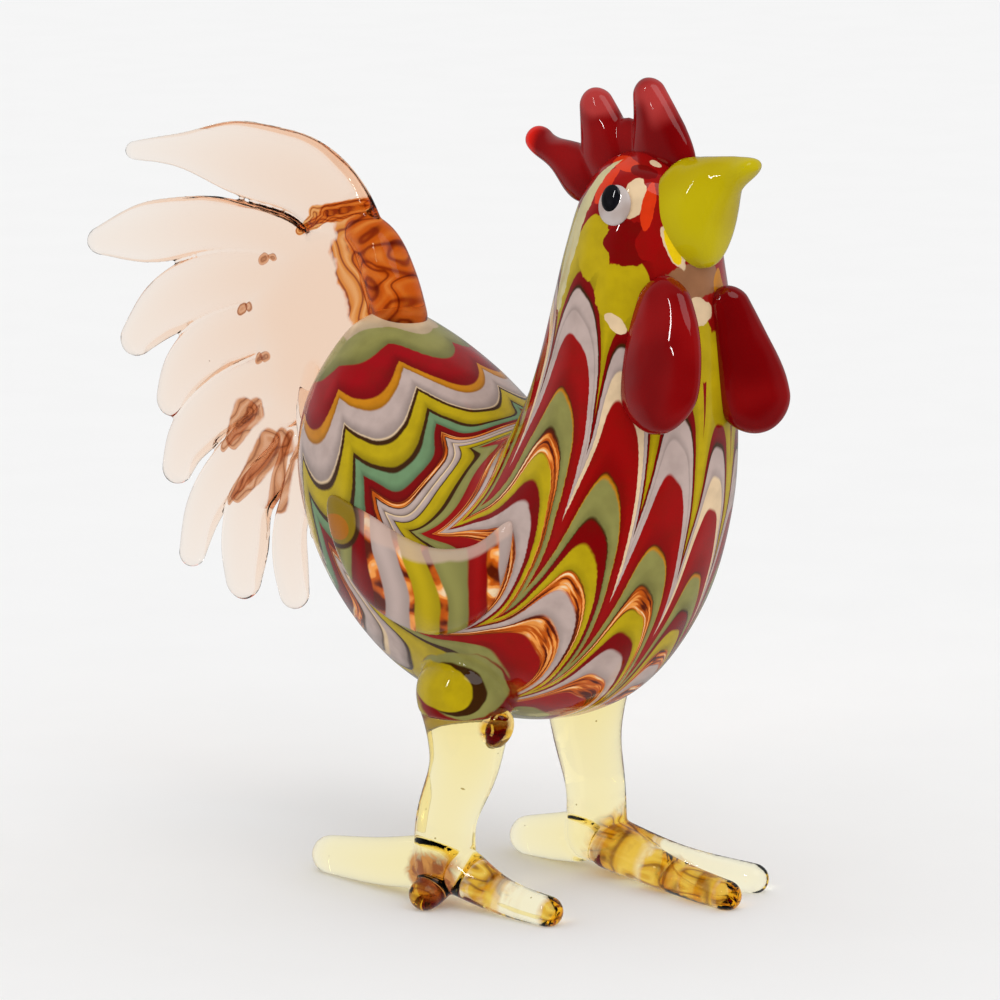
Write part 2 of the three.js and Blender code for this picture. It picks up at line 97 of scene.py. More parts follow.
# A stain is full where its depth is 1 or more. The stem's amber has this depth on its line, and loses 1 over
# these millimetres. A streak has this depth on its line, and loses this much over its half width.
STEM_DEPTH = 1.35
STEM_FADE = 8.5
STREAK_DEPTH = 1.2
STREAK_FALL = 0.7
FEATHER_WIDTH = 10
FEATHER_HALF_DEPTH = 2.2
FEATHERS = [
    (
        [(-0.031, 0.085), (-0.1, 0.223), (-0.215, 0.308), (-0.4, 0.338), (-0.688, 0.342), (-0.858, 0.326)],
        [0.62, 0.7, 0.66, 0.6, 0.29, 0.14],
    ),
    (
        [(-0.2, 0.092), (-0.308, 0.154), (-0.531, 0.169), (-0.745, 0.132), (-0.998, 0.077)],
        [0.46, 0.41, 0.48, 0.5, 0.18],
    ),
    (
        [(-0.223, 0.023), (-0.358, 0.057), (-0.586, 0.008), (-0.738, -0.068), (-0.868, -0.185)],
        [0.44, 0.46, 0.53, 0.49, 0.24],
    ),
    (
        [(-0.238, -0.062), (-0.342, -0.068), (-0.535, -0.126), (-0.665, -0.222), (-0.726, -0.335)],
        [0.42, 0.44, 0.5, 0.46, 0.24],
    ),
    (
        [(-0.262, -0.154), (-0.362, -0.2), (-0.528, -0.289), (-0.651, -0.392), (-0.708, -0.508)],
        [0.42, 0.44, 0.48, 0.44, 0.22],
    ),
    (
        [(-0.254, -0.228), (-0.354, -0.312), (-0.5, -0.438), (-0.598, -0.566), (-0.652, -0.717)],
        [0.36, 0.36, 0.39, 0.36, 0.2],
    ),
    (
        [(-0.246, -0.308), (-0.308, -0.405), (-0.426, -0.518), (-0.454, -0.637), (-0.462, -0.778)],
        [0.32, 0.32, 0.44, 0.5, 0.26],
    ),
    (
        [(-0.225, -0.369), (-0.269, -0.485), (-0.295, -0.578), (-0.295, -0.654), (-0.274, -0.777)],
        [0.24, 0.26, 0.32, 0.34, 0.22],
    ),
]

# Comb: points are [forward, up] from the crown in shares of its height, and half widths are shares of its
# width. The last lobe is a thin web between the first two.
COMB_HEIGHT = 12
COMB_WIDTH = 10
COMB_HALF_DEPTH = 2.6
COMB_WEB_HALF_DEPTH = 1.7
COMB_LOBES = [
    ([(0.18, -0.583), (0.04, 0.167), (-0.192, 0.85)], [1.05, 0.52, 0.2], COMB_HALF_DEPTH),
    ([(-0.667, -0.583), (-0.883, 0.125), (-1.083, 0.65)], [0.65, 0.46, 0.21], COMB_HALF_DEPTH),
    (
        [(-0.917, -0.633), (-1.5, -0.3), (-1.93, -0.12), (-2.083, 0.05)],
        [0.6, 0.42, 0.22, 0.22],
        COMB_HALF_DEPTH,
    ),
    ([(-0.42, -0.6), (-0.45, -0.2), (-0.5, 0.32)], [0.56, 0.54, 0.42], COMB_WEB_HALF_DEPTH),
]
# The tip of the rear lobe is a brighter bead, this far behind the crown.
BEAD_BEHIND = 22

# Beak: sections from inside the head to the hooked tip. The points on its ridge and under its chin are
# [forward, up] from the crown in shares of its length, and half depths are shares of its width.
BEAK_LENGTH = 20
BEAK_WIDTH = 16
BEAK_RIDGE = [
    (0.1, -0.42), (0.17, -0.24), (0.28, -0.072), (0.42, -0.045), (0.56, -0.03), (0.68, -0.018),
    (0.79, -0.01), (0.95, -0.014), (1, -0.085),
]
BEAK_CHIN = [
    (0.1, -0.42), (0.115, -0.68), (0.2, -0.865), (0.33, -0.91), (0.47, -0.89), (0.6, -0.8),
    (0.75, -0.35), (0.925, -0.16), (1, -0.085),
]
BEAK_HALF_DEPTHS = [0, 0.4, 0.43, 0.4, 0.355, 0.26, 0.155, 0.13, 0]

# Places on the skin are the share of the way from rump to crown, and degrees from the back round to the side.
# Eyes: radii are across and up. A pupil lies this far above the skin, behind the eye's middle and up from it.
EYE_PLACE = (0.886, 95.5)
EYE_RADII = (2.8, 3.1)
EYE_HALF_DEPTH = 0.75
PUPIL_RADII = (1.65, 2.1)
PUPIL_HALF_DEPTH = 0.5
PUPIL_SHIFT = (0.75 * EYE_HALF_DEPTH, 0.45, 0.95)
# Wattles: where each is rooted on the chin, how far its tip hangs outward, forward and down from there, the
# sideways direction across its thin side, and its half widths and half depths in millimetres.
WATTLES = {
    "right": {
        "root": (0.795, 145),
        "hang": (5.2, 3, 23.2),
        "thin": (1, 0, 0),
        "half_widths": [3.3, 6.7, 7.6, 5.8],
        "half_depths": [2.4, 3.2, 3.2, 2.6],
    },
    "left": {
        "root": (0.778, 166),
        "hang": (4.2, 4.8, 22.4),
        "thin": (0.74, 0.67, 0),
        "half_widths": [2.7, 4.3, 5.6, 4.9],
        "half_depths": [2.2, 2.7, 2.8, 2.3],
    },
}
WATTLE_LIFT = 0.8
# Wings: a pad whose middle and rim are places on the skin, and that stands out from it by its half thickness.
WING_MIDDLE = (0.38, 89)
WING_RIM = [
    (0.238, 98), (0.28, 83), (0.34, 76), (0.43, 73), (0.52, 79), (0.475, 96), (0.4, 107), (0.3, 109),
]
WING_HALF_THICKNESS = 2.98
# A highlight is painted along the lip under a wing's upper rim: its degrees at full strength, and those over
# which it then fades.
LIP_HIGHLIGHT_DEGREES = 2
LIP_HIGHLIGHT_FADE = 7

# Legs: heights are above the ground. Toe tips are [forward, outward] from the ankle in shares of the reach.
HIP_OUTWARD = 14.4
LEG_HEIGHTS = [40, 22.5, 13, 1.5]
LEG_RADII = [10, 6.4, 4.8, 5.2]
TOE_WIDTH = 8.8
TOE_RADII = {"hind": [0.5, 0.43, 0.33], "inner": [0.5, 0.33, 0.27], "outer": [0.5, 0.33, 0.27]}
SOLE_DEPTH = 0.5
FOOT_REACH = 36
FEET = {
    "right": {
        "ankle": (-0.039, 0.478),
        "arch": 6.5,
        "tips": {"hind": (-0.861, 0.422), "inner": (0.606, 0.467), "outer": (-0.017, 0.7)},
    },
    "left": {
        "ankle": (0.083, 0.367),
        "arch": 5.5,
        "tips": {"hind": (-0.428, 0.406), "inner": (1, 0.239), "outer": (0.906, 0.561)},
    },
}
# The coloured thigh ends at this height, a little wider than the clear leg that reaches up into it.
THIGH_END = 29.5
THIGH_FLARE = 1.03
THIGH_OVERLAP = 4
# A drop of darker glass at the front of the right leg, under the thigh: places in millimetres, radii, and how
# far its stain reaches.
DROP_ROUTE = [(-13.8, -33.1, 32), (-14.2, -32.9, 28.9), (-14.2, -31.5, 25.6)]
DROP_RADII = [1.9, 2.4, 1.3]
DROP_REACH = 3.2
# Stains in the feet: the toe, the share of the way along it, and the reach in millimetres. A stain's depth
# falls by 1 over its reach, from this value in its middle, and is full where it is 1 or more.
STAIN_CORE = 1.3
FOOT_STAINS = {
    "right": {
        "amber": [("inner", 1, 3.6), ("inner", 0.34, 4.4), ("inner", 0.6, 2.6), ("outer", 1, 3.6)],
        "brown": [("outer", 0.28, 6.2)],
    },
    "left": {
        "amber": [("inner", 1, 4.4), ("inner", 0.75, 4.4), ("inner", 0.5, 4.6), ("outer", 0.15, 6.5)],
        "brown": [("inner", 0.3, 3.4), ("outer", 0.3, 2.6)],
    },
}

SIDEWAYS = np.array([1.0, 0, 0])
UPWARD = np.array([0, 0, 1.0])


def rgb(red, green, blue):
    """A colour given as its screen values from 0 to 255."""
    linear = [((c / 255 + 0.055) / 1.055) ** 2.4 if c > 10 else c / 255 / 12.92 for c in (red, green, blue)]
    return (*linear, 1)


CRIMSON = rgb(128, 4, 8)
RED = rgb(158, 12, 12)
RUBY = rgb(158, 6, 18)
FLAME = rgb(226, 58, 20)
SAGE = rgb(148, 144, 80)
MINT = rgb(116, 150, 108)
LAVENDER = rgb(198, 176, 168)
MUSTARD = rgb(194, 168, 18)
AMBER = rgb(206, 132, 20)
UMBER = rgb(62, 34, 10)
CREAM = rgb(238, 208, 168)
STRAW = rgb(212, 200, 150)
WHITE = (1, 1, 1, 1)


# Curves

def smooth_curve(points, shares, centripetal=False, closed=False):
    """Points on the smooth curve through the given ones, by the share of the way from first to last."""
    points = np.asarray(points, float).reshape(len(points), -1)
    if closed:
        padded = np.vstack([points[-1:], points, points[:2]])
        spans = len(points)
    else:
        padded = np.vstack([2 * points[:1] - points[1:2], points, 2 * points[-1:] - points[-2:-1]])
        spans = len(points) - 1
    way = np.asarray(shares, float) * spans
    first = np.clip(np.floor(way).astype(int), 0, spans - 1)
    t = (way - first)[..., None]
    a, b, c, d = (padded[first + step] for step in range(4))
    gaps = [1.0, 1.0, 1.0]
    if centripetal:
        gaps = [np.linalg.norm(q - p, axis=-1, keepdims=True) ** 0.5 for p, q in ((a, b), (b, c), (c, d))]
    leave = ((b - a) / gaps[0] - (c - a) / (gaps[0] + gaps[1]) + (c - b) / gaps[1]) * gaps[1]
    arrive = ((c - b) / gaps[1] - (d - b) / (gaps[1] + gaps[2]) + (d - c) / gaps[2]) * gaps[1]
    bend = 3 * (c - b) - 2 * leave - arrive
    return b + leave * t + bend * t**2 + (2 * (b - c) + leave + arrive) * t**3


def in_plane(origin, places, size):
    """Points in the bird's middle plane, [forward, up] from the origin in shares of a size."""
    return np.array([origin + size * np.array([0, -forward, up]) for forward, up in places])


def unit(vectors):
    return vectors / np.maximum(np.linalg.norm(vectors, axis=-1, keepdims=True), 1e-9)


# The skin of the body

def body_line(places):
    points = [(0, -forward * BODY_LENGTH, BELLY_HEIGHT + up * BODY_HEIGHT) for forward, up in places]
    return BELLY_SPOT + np.array(points)


BACK_LINE = body_line(BACK)
BREAST_LINE = body_line(BREAST)


def between_lines(upper, lower, half_widths, along, angle):
    """A round skin between two lines in the bird's middle plane, with its angle taken from the upper one."""
    above = smooth_curve(upper, along)
    below = smooth_curve(lower, along)
    across = SIDEWAYS * smooth_curve(half_widths, along) * np.sin(angle)[..., None]
    return (above + below) / 2 + (above - below) * np.cos(angle)[..., None] / 2 + across


def skin_point(along, angle):
    """The skin, by the share of the way from rump to crown and the angle round from the back."""
    return between_lines(BACK_LINE, BREAST_LINE, np.array(WIDTHS) * BODY_WIDTH / 2, along, angle)


def skin_slopes(along, angle):
    """How the skin's points move with the share along the body and with the angle round it."""
    step = 0.002
    inside = np.clip(along, 2 * step, 1 - 2 * step)
    lengthwise = (skin_point(inside + step, angle) - skin_point(inside - step, angle)) / (2 * step)
    crosswise = (skin_point(inside, angle + step) - skin_point(inside, angle - step)) / (2 * step)
    return lengthwise, crosswise


def skin_normal(along, angle):
    lengthwise, crosswise = skin_slopes(along, angle)
    return unit(np.cross(lengthwise, crosswise))


def on_skin(place, side):
    along, degrees = place
    return np.array(along), np.array(side * math.radians(degrees))


# Meshes

def placed(name, data):
    """A new object in the scene for a mesh, a lamp or a camera, at the origin."""
    made = bpy.data.objects.new(name, data)
    bpy.context.collection.objects.link(made)
    return made


def tidy(made):
    """Merges doubled points, turns the faces outward and shades them smooth."""
    shape = bmesh.new()
    shape.from_mesh(made.data)
    bmesh.ops.remove_doubles(shape, verts=shape.verts, dist=1e-6)
    bmesh.ops.dissolve_degenerate(shape, edges=shape.edges, dist=1e-7)
    bmesh.ops.recalc_face_normals(shape, faces=shape.faces)
    for face in shape.faces:
        face.smooth = True
    shape.to_mesh(made.data)
    shape.free()


def moulded(name, place, sides, rings):
    """A closed mesh whose points, in millimetres, are given by their share of the way from pole to pole and
    their angle round it."""
    share, turn = np.meshgrid(
        np.arange(rings + 1) / rings, 2 * np.pi * np.arange(sides) / sides, indexing="ij"
    )
    points = place(share, turn).reshape(-1, 3) * MM
    faces = []
    for ring in range(rings):
        for side in range(sides):
            following = (side + 1) % sides
            low, high = ring * sides, (ring + 1) * sides
            faces.append((low + side, low + following, high + following, high + side))
    mesh = bpy.data.meshes.new(name)
    mesh.from_pydata(points.tolist(), [], faces)
    made = placed(name, mesh)
    tidy(made)
    return made


def apply_modifiers(made):
    graph = bpy.context.evaluated_depsgraph_get()
    mesh = bpy.data.meshes.new_from_object(made.evaluated_get(graph))
    made.modifiers.clear()
    made.data = mesh


def joined(name, parts):
    """One object that holds the meshes of several, which are removed."""
    shape = bmesh.new()
    for part in parts:
        shape.from_mesh(part.data)
    mesh = bpy.data.meshes.new(name)
    shape.to_mesh(mesh)
    shape.free()
    for part in parts:
        bpy.data.objects.remove(part)
    return placed(name, mesh)


def fused(name, parts, grain, rounds):
    """Closed meshes melted into one skin, of a grain in millimetres, with its creases softened in rounds."""
    made = joined(name, parts)
    melt = made.modifiers.new("Melt", "REMESH")
    melt.mode = "VOXEL"
    melt.voxel_size = grain * MM
    soften = made.modifiers.new("Soften", "SMOOTH")
    soften.factor = 0.5
    soften.iterations = rounds
    apply_modifiers(made)
    tidy(made)
    return made


def points_of(made):
    """An object's points in millimetres."""
    points = np.empty(3 * len(made.data.vertices))
    made.data.vertices.foreach_get("co", points)
    return points.reshape(-1, 3) / MM


def move_points(made, points):
    made.data.vertices.foreach_set("co", (points * MM).ravel())
    made.data.update()


def keep_values(made, name, values, kind="FLOAT"):
    """Stores a value for each point of a mesh, for its material or the nodes that shape it."""
    field = {"FLOAT": "value", "FLOAT_VECTOR": "vector"}[kind]
    made.data.attributes.new(name, kind, "POINT").data.foreach_set(field, np.ravel(values))


# Node trees

class Value:
    """A number, vector or colour in a node tree, so that formulas read as in Python."""

    def __init__(self, nodes, socket):
        self.nodes = nodes
        self.socket = socket

    def maths(self, operation, *terms):
        inputs = dict(zip(("Value", "Value_001", "Value_002"), terms))
        return self.nodes.add("ShaderNodeMath", inputs, operation=operation)

    def __add__(self, other):
        return self.maths("ADD", self, other)

    def __radd__(self, other):
        return self.maths("ADD", other, self)

    def __sub__(self, other):
        return self.maths("SUBTRACT", self, other)

    def __rsub__(self, other):
        return self.maths("SUBTRACT", other, self)

    def __mul__(self, other):
        return self.maths("MULTIPLY", self, other)

    def __rmul__(self, other):
        return self.maths("MULTIPLY", other, self)

    def __truediv__(self, other):
        return self.maths("DIVIDE", self, other)

    def __pow__(self, power):
        return self.maths("POWER", self, power)

    def __mod__(self, period):
        return self.maths("FLOORED_MODULO", self, period)

    def __abs__(self):
        return self.maths("ABSOLUTE", self)

    def smooth(self, low, high):
        """0 below the low value, 1 above the high one, and a soft step between."""
        inputs = {"Value": self, "From Min": low, "From Max": high}
        return self.nodes.add("ShaderNodeMapRange", inputs, interpolation_type="SMOOTHSTEP")

    def between(self, low, high, softness):
        """1 from the low value to the high one, with soft ends."""
        rise = self.smooth(low - softness, low + softness)
        return rise - self.smooth(high - softness, high + softness)

    def scaled(self, factor):
        return self.nodes.add("ShaderNodeVectorMath", {"Vector": self, "Scale": factor}, operation="SCALE")

    def plus(self, other):
        return self.nodes.add("ShaderNodeVectorMath", {"Vector": self, "Vector_001": other}, operation="ADD")

    def part(self, axis):
        """One of a vector's three numbers."""
        return self.nodes.add("ShaderNodeSeparateXYZ", {"Vector": self}, output="XYZ".index(axis))


class Nodes:
    """A node tree, with one call that adds a node and gives one of its outputs."""

    def __init__(self, tree):
        self.tree = tree

    def add(self, kind, inputs=None, output=0, **settings):
        node = self.tree.nodes.new(kind)
        for setting, value in settings.items():
            setattr(node, setting, value)
        sockets = {socket.identifier: socket for socket in node.inputs}
        for name, value in (inputs or {}).items():
            if isinstance(value, Value):
                self.tree.links.new(value.socket, sockets[name])
            else:
                sockets[name].default_value = value
        return Value(self, node.outputs[output])

    def mix(self, factor, first, second):
        inputs = {"Factor_Float": factor, "A_Color": first, "B_Color": second}
        return self.add("ShaderNodeMix", inputs, output=2, data_type="RGBA")

    def vector(self, x, y, z):
        return self.add("ShaderNodeCombineXYZ", {"X": x, "Y": y, "Z": z})

    def noise(self, place, scale, detail, **inputs):
        inputs = {"Vector": place, "Scale": scale, "Detail": detail, **inputs}
        return self.add("ShaderNodeTexNoise", inputs)

    def millimetres(self):
        """The place on the object, in millimetres."""
        return self.add("ShaderNodeTexCoord", output=3).scaled(1 / MM)

    def stored(self, name, output=1):
        """A value kept on the mesh: output 1 is a vector and 2 a number."""
        return self.add("ShaderNodeAttribute", output=output, attribute_name=name)

    def banded(self, where, bands, softness, deeper_end, deeper_start):
        """Colours side by side along a coordinate, each from its own value up to the next one's. Wide bands
        of one colour are deeper at their end and at their start, as far as two more values say."""
        ends = [start for start, _ in bands[1:]] + [bands[-1][0] + 50 * softness]
        colour = bands[0][1]
        for (start, following), end in zip(bands, ends):
            if isinstance(following, tuple) and end - start > 7 * softness:
                late = where.smooth(start + 0.45 * (end - start), end) * deeper_end
                early = (1 - where.smooth(start, start + 0.45 * (end - start))) * deeper_start
                deep = (*(0.35 * part for part in following[:3]), 1)
                following = self.mix(late + early, following, deep)
            colour = self.mix(where.smooth(start - softness, start + softness), colour, following)
        return colour


def material(name, build):
    """A material whose nodes are made by a function that gives its surface and, if any, its volume."""
    made = bpy.data.materials.new(name)
    made.use_nodes = True
    tree = made.node_tree
    tree.nodes.clear()
    surface, volume = build(Nodes(tree))
    output = tree.nodes.new("ShaderNodeOutputMaterial")
    tree.links.new(surface.socket, output.inputs["Surface"])
    if volume:
        tree.links.new(volume.socket, output.inputs["Volume"])
    return made


def waviness(nodes, place, scale, height):
    """The slow ripples of glass that was shaped hot, as a bumped normal."""
    ripple = nodes.noise(place, scale, 1.0)
    inputs = {"Height": ripple, "Distance": height * MM, "Strength": 1.0}
    return nodes.add("ShaderNodeBump", inputs)


def enamel(paint, wave_scale, wave_height):
    """Coloured glass with a smooth, glossy skin, from a function that gives its colour at a place."""

    def build(nodes):
        place = nodes.millimetres()
        inputs = {
            "Base Color": paint(nodes, place),
            "Roughness": 0.03,
            "IOR": 1.5,
            "Normal": waviness(nodes, place, wave_scale, wave_height),
        }
        return nodes.add("ShaderNodeBsdfPrincipled", inputs), None

    return build


def clear_glass(nodes, tint, normal, shadow, bending):
    """Clear glass that lets light through to the ground. How much it bends light is its refractive index."""
    inputs = {
        "Base Color": tint,
        "Roughness": 0.0,
        "IOR": bending,
        "Transmission Weight": 1.0,
        "Normal": normal,
    }
    glass = nodes.add("ShaderNodeBsdfPrincipled", inputs)
    through = nodes.add("ShaderNodeBsdfTransparent", {"Color": shadow})
    is_shadow = nodes.add("ShaderNodeLightPath", output=1)
    return nodes.add("ShaderNodeMixShader", {"Fac": is_shadow, "Shader": glass, "Shader_001": through})


def absorption(nodes, colour, density):
    return nodes.add("ShaderNodeVolumeAbsorption", {"Color": colour, "Density": density})


# Glass of the body: bands of colour, combed towards the tail into ten columns of scallops

COLUMN_DEGREES = 36
# Degrees from the back round to a valley between two columns, at the rump and at the chest, and the share of
# a column's width at which its crest lies.
RUMP_VALLEY = 71.3
CHEST_VALLEY = 49.5
CREST_SHARE = 0.5
# How far the bands slant across the chest, and rise along the back, in shares of the way from rump to crown.
CHEST_LEAN = 0.08
BACK_LIFT = 0.045

# Where each band starts, from the rump to the crown, at the crest of a scallop.
# The glow bands are amber glass with streaks of painted light, as where light comes through it.
BANDS = [
    (0.0, CREAM),
    (0.078, SAGE),
    (0.128, RUBY),
    (0.179, AMBER),
    (0.193, LAVENDER),
    (0.2275, CREAM),
    (0.2295, UMBER),
    (0.236, MUSTARD),
    (0.2655, UMBER),
    (0.273, MINT),
    (0.2945, CRIMSON),
    (0.3135, "glow"),
    (0.325, UMBER),
    (0.328, LAVENDER),
    (0.346, UMBER),
    (0.348, CREAM),
    (0.353, LAVENDER),
    (0.370, UMBER),
    (0.374, MUSTARD),
    (0.411, UMBER),
    (0.421, SAGE),
    (0.448, RED),
    (0.478, "glow"),
    (0.499, LAVENDER),
    (0.5205, "odd glow"),
    (0.536, MUSTARD),
    (0.5555, "even glow"),
    (0.572, UMBER),
    (0.574, SAGE),
    (0.6, AMBER),
    (0.6025, UMBER),
    (0.604, RED),
    (0.656, "odd cream"),
    (0.68, LAVENDER),
    (0.702, UMBER),
    (0.706, CRIMSON),
    (0.721, MUSTARD),
    (0.8, RED),
]

# Patches melted onto the head: the share of the way from rump to crown, the degrees round from the back, half
# the size of the patch in each, how far it slants, and its colour. Those on the head are the same on both
# sides, and the degrees of those on the chin go round by the bird's right.
HEAD_PATCHES = [
    (0.772, 113, 0.03, 17, 0, MUSTARD),
    (0.822, 88, 0.043, 14, 0, MUSTARD),
    (0.742, 113, 0.009, 7, 0.5, CREAM),
    (0.838, 118, 0.036, 21, 0, CRIMSON),
    (0.842, 134, 0.03, 13, 0, RED),
    (0.905, 110, 0.032, 12, 0, CREAM),
    (0.899, 126, 0.036, 6, 0, FLAME),
    (0.91, 74, 0.034, 8, 0, FLAME),
    (0.951, 70, 0.013, 32, 0, FLAME),
    (0.95, 112, 0.011, 22, 0, CRIMSON),
    (0.968, 128, 0.006, 13, 0.4, CREAM),
    (0.84, 60, 0.11, 9, 0, STRAW),
]
CHIN_PATCHES = [
    (0.73, 172, 0.034, 9, 0, MUSTARD),
    (0.79, 172, 0.02, 24, 0, rgb(160, 110, 76)),
    (0.758, 170, 0.013, 13, 0, CREAM),
    (0.765, 196, 0.03, 8, 0, AMBER),
    (0.838, 151, 0.036, 7, 1.3, CREAM),
    (0.838, 151, 0.031, 5, 1.3, rgb(250, 212, 20)),
]

# The outside of each thigh: a lens in a rounded patch, given as the middle and half the size of each, in
# millimetres along the quarter view and up.
THIGH_PATCHES = [
    ((-5.2, 34.2), (8.0, 6.4), CRIMSON),
    ((-5.6, 35.6), (6.8, 5.1), SAGE),
    ((-7.3, 35.0), (5.3, 3.9), UMBER),
    ((-8.8, 35.1), (4.6, 3.5), MUSTARD),
]
# The quarter view looks at the bird from its front and one side. A place across this view is these shares of
# the millimetres outward and forward, the first taken off the second, from a line this far to the front.
QUARTER = (0.669, 0.743)
QUARTER_START = 15.2


def along_quarter(place):
    """Millimetres to the front, across the quarter view."""
    outward, ahead = QUARTER
    return -outward * abs(place.part("X")) - ahead * place.part("Y") - QUARTER_START


def inside_oval(across, along, middle, half, slant=0.0):
    """Above 0 inside an oval and below 0 outside it."""
    lengthwise = (along - middle[0]) / half[0]
    crosswise = (across - middle[1]) / half[1] + slant * lengthwise
    return 1 - lengthwise * lengthwise - crosswise * crosswise


def thigh_paint(nodes, place, colour):
    outside = abs(place.part("X")).smooth(7, 9)
    wander = (nodes.noise(place, 0.2, 2.0) - 0.5) * 0.7
    for middle, half, patch in THIGH_PATCHES:
        inside = inside_oval(place.part("Z"), along_quarter(place), middle, half) + wander
        colour = nodes.mix(inside.smooth(-0.08, 0.08) * outside, colour, patch)
    return colour


def glow(nodes, across, along):
    """Amber glass, dark brown to orange, with streaks of painted light: bright orange and pale where light
    would come through it.
    """
    streaks = nodes.noise(nodes.vector(across, along, 0.0), 1.0, 1.5, Distortion=0.35)
    warm = nodes.mix(streaks.smooth(0.38, 0.52), rgb(92, 24, 4), rgb(204, 92, 16))
    # The orange and pale streaks are painted light, not the amber's own colour.
    hot = nodes.mix(streaks.smooth(0.52, 0.6), warm, rgb(255, 164, 78))
    return nodes.mix(streaks.smooth(0.62, 0.7), hot, rgb(255, 224, 180))


def combed_paint(nodes, place):
    """The colour of the body, from its stored place on the skin: how far along, and the sine and cosine of
    the angle from the back round by the bird's right."""
    skin = nodes.stored("skin")
    along, sine, cosine = (skin.part(axis) for axis in "XYZ")
    degrees = sine.maths("ARCTAN2", sine, cosine) * (180 / math.pi)
    off_back = abs(degrees)

    # Columns are narrower at the breast and on the bird's left, and turn a little from rump to chest.
    toward_chest = along.smooth(0.28, 0.48)
    spread = degrees + (sine * -0.87 + cosine * 0.492) * (6.5 + 12.4 * toward_chest)
    drift = nodes.noise(place, 0.06, 1.0) - 0.5
    turned = RUMP_VALLEY + (CHEST_VALLEY - RUMP_VALLEY) * toward_chest + 4 * along.smooth(0.55, 0.7)
    column = (spread - turned) / COLUMN_DEGREES + drift * 0.12
    share = column % 1.0
    falling = (share - CREST_SHARE) / (1 - CREST_SHARE)
    from_crest = falling.maths("MAXIMUM", falling, 1 - share / CREST_SHARE)

    # How far a band lies from its place: higher along the back, lower at the root of the neck, and slanting
    # down across the chest.
    lift = 0.02 * cosine * (1 - along.smooth(0.35, 0.5)) + BACK_LIFT * (1 - off_back.smooth(0, 40))
    drop = (0.045 * along.smooth(0.3, 0.375) - 0.02 * along.smooth(0.5, 0.6)) * (1 - off_back.smooth(60, 84))
    lean = CHEST_LEAN * along.smooth(0.4, 0.72) * (cosine + sine) * math.sqrt(0.5)
    pull = (along - 0.12) * 0.3 + 0.02 * along.smooth(0.1, 0.16) * (1 - along.smooth(0.16, 0.32))
    pull = pull.maths("MINIMUM", pull, 0.11) * (1 - 0.45 * along.smooth(0.62, 0.74))
    sharpness = 2.0 + 2.6 * along.smooth(0.26, 0.34) - 1.5 * along.smooth(0.42, 0.55)
    wander = (nodes.noise(place, 0.1, 2.0) - 0.5) * 0.01
    crest = along - lift + drop - lean + pull * from_crest**sharpness + wander
    # Amber bands with painted light: bright streaks, as where light comes through them.
    bright = glow(nodes, column * 2.5, crest * 230)
    odd = ((column * 0.5) % 1.0).smooth(0.499, 0.501)
    glows = {
        "glow": bright,
        "odd glow": nodes.mix(odd, CRIMSON, bright),
        "even glow": nodes.mix(odd, bright, CRIMSON),
        "odd cream": nodes.mix(odd, LAVENDER, CREAM),
    }
    bands = [(start, glows.get(colour, colour)) for start, colour in BANDS]
    chest = along.smooth(0.35, 0.45)
    colour = nodes.banded(crest, bands, 0.0016, 0.6 * (1 - chest), 0.4 * chest)
    colour = thigh_paint(nodes, place, colour)
    rough_edge = (nodes.noise(place, 0.4, 3.0) - 0.5) * 1.3
    for patches, round_from_back in ((HEAD_PATCHES, off_back), (CHIN_PATCHES, degrees % 360)):
        for middle, around, half_along, half_degrees, slant, patch in patches:
            half = (half_along, half_degrees)
            inside = inside_oval(round_from_back, along, (middle, around), half, slant) - rough_edge
            colour = nodes.mix(inside.smooth(-0.06, 0.06), colour, patch)
    return colour


def body_paint(nodes, place):
    shade = nodes.noise(place, 0.35, 3.0).smooth(0.3, 0.8)
    return nodes.mix(shade * 0.18, combed_paint(nodes, place), UMBER)


# Where the feathers spread from: behind the middle, and up.
TAIL_HUB = (16.8, 84.5)


def seeds(nodes, place, scale, radius):
    """1 on the tiny bubbles in clear glass."""
    inputs = {"Vector": place, "Scale": scale}
    from_seed = nodes.add("ShaderNodeTexVoronoi", inputs) / scale
    kept = nodes.add("ShaderNodeTexVoronoi", inputs, output=1).part("X").smooth(0.6, 0.61)
    return (1 - from_seed.smooth(radius * 0.6, radius)) * kept


def swirled(nodes, folds, dark, light, pale):
    """Brown glass in folded layers: a dark line, and a pale one between two of them, for each whole fold."""
    layer = abs(folds % 1.0 - 0.5)
    base = nodes.mix(layer.smooth(0.22, 0.5), light, pale)
    return nodes.mix(1 - layer.smooth(0.02, 0.2), base, dark)


def tail_glass(nodes):
    place = nodes.millimetres()
    hub_behind, hub_height = TAIL_HUB
    from_hub = ((place.part("Y") - hub_behind) ** 2 + (place.part("Z") - hub_height) ** 2) ** 0.5
    edge = (nodes.noise(place, 0.3, 2.0) - 0.5) * 0.5
    flat = nodes.vector(0.0, place.part("Y"), place.part("Z"))
    tint = nodes.mix(from_hub.smooth(8, 54), rgb(250, 233, 219), rgb(255, 253, 250))
    folds = nodes.noise(flat, 0.09, 1.0, Distortion=1.2) * 4
    inside = nodes.stored("amber", 2)
    amber = swirled(nodes, folds + inside * 3, rgb(100, 22, 4), rgb(202, 94, 20), rgb(226, 136, 60))
    tint = nodes.mix((inside + edge).smooth(0.42, 0.54), tint, amber)
    inside = nodes.stored("brown", 2)
    brown = swirled(nodes, folds + inside * 1.8, rgb(112, 50, 24), rgb(180, 100, 56), rgb(206, 134, 92))
    tint = nodes.mix((inside + 0.6 * edge).smooth(0.4, 0.56), tint, brown)
    tint = nodes.mix(seeds(nodes, place, 0.14, 0.22), tint, rgb(150, 120, 100))
    normal = waviness(nodes, place, 0.09, 0.2)
    surface = clear_glass(nodes, tint, normal, (1, 0.96, 0.93, 1), 1.3)
    return surface, absorption(nodes, (0.97, 0.55, 0.2, 1), 44)


